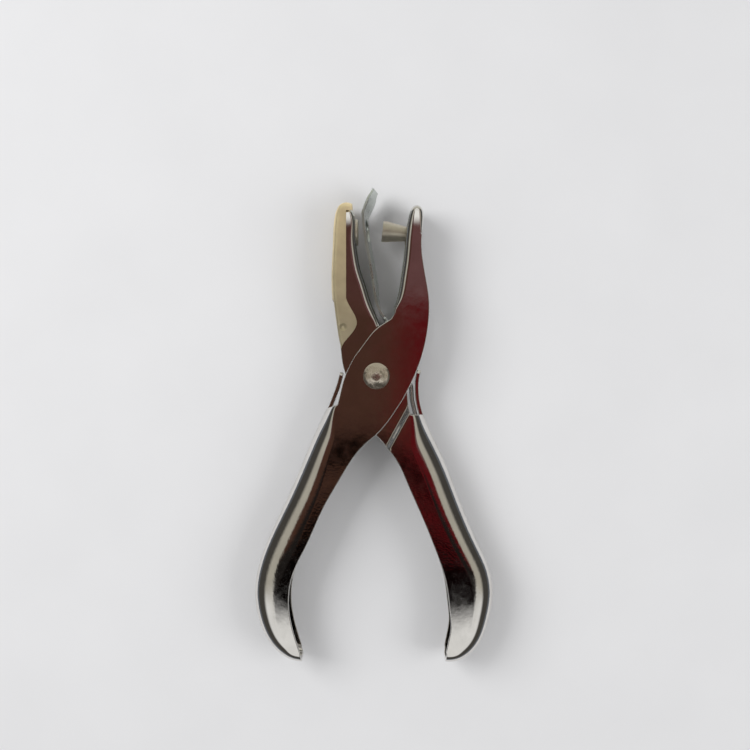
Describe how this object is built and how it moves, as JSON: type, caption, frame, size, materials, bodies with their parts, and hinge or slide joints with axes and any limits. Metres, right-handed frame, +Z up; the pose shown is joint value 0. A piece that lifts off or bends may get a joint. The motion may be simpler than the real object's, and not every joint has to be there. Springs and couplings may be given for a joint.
{
  "type": "hand-held hole punch",
  "caption": "Plier-type hand punch for round paper holes: crossed sprung channel levers, round pin and die, stripper strip and a swing-out chip tray.",
  "frame": {"origin": "on the rivet's axis, on the flat face of the rear rivet head", "axes": "+Y from the rivet to the jaws, +X to the punch side, +Z up through the rivet; the punch lies on its side"},
  "size_m": [0.072, 0.1434, 0.0154],
  "materials": {
    "plated_steel": "polished nickel plate",
    "rivet_steel": "polished",
    "spring_steel": "drawn wire",
    "tool_steel": "turned",
    "strip_steel": "satin",
    "tray_steel": "satin plate"
  },
  "bodies": {
    "punch_body": {"punch_lever": "plated_steel", "punch_pin": "tool_steel", "pivot_rivet": "rivet_steel", "pivot_bush": "rivet_steel", "return_spring": "spring_steel"},
    "die_body": {"die_lever": "plated_steel", "die_bush": "tool_steel", "stripper_strip": "strip_steel"},
    "tray_body": {"chip_tray": "tray_steel"}
  },
  "joints": [
    {"name": "lever_pivot", "type": "hinge", "parent": "punch_body", "child": "die_body", "pos_m": [0, 0, 0], "axis": [0, 0, -1], "range_deg": [0, 10.6], "stiffness_Nm_per_rad": 1, "springref_deg": -8.59, "deforming": ["return_spring"]},
    {"name": "tray_swing", "type": "hinge", "parent": "die_body", "child": "tray_body", "pos_m": [-0.01, 0.0147, 0], "axis": [0, 0, 1], "range_deg": [0, 50]}
  ]
}
